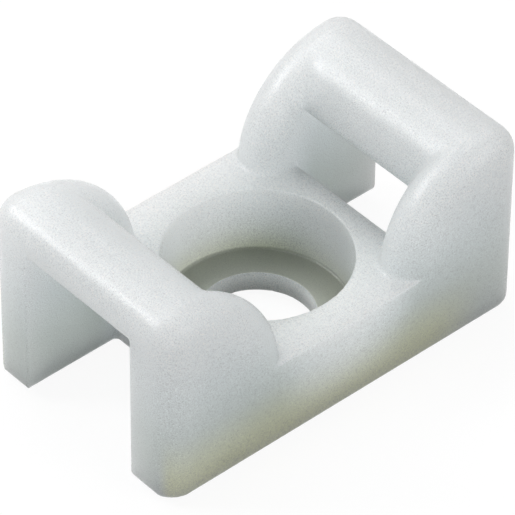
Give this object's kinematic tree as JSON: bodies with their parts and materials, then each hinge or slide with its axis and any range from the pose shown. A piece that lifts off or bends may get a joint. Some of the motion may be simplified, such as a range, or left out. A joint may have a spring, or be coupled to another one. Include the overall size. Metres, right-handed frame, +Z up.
{
  "type": "cable tie mount",
  "caption": "One-piece saddle that a screw fixes to a surface; a cable tie threads under its end bars and over its centre block to hold a bundle of cables.",
  "frame": {"origin": "centre of the flat base, on the screw's axis", "axes": "+X along the tie's path from one end bar to the other, +Y across the part, +Z up out of the screw's head recess"},
  "size_m": [0.022, 0.0128, 0.0105],
  "materials": {
    "nylon": "translucent natural nylon, finely textured"
  },
  "bodies": {
    "root": {"mount_body": "nylon"}
  },
  "joints": []
}
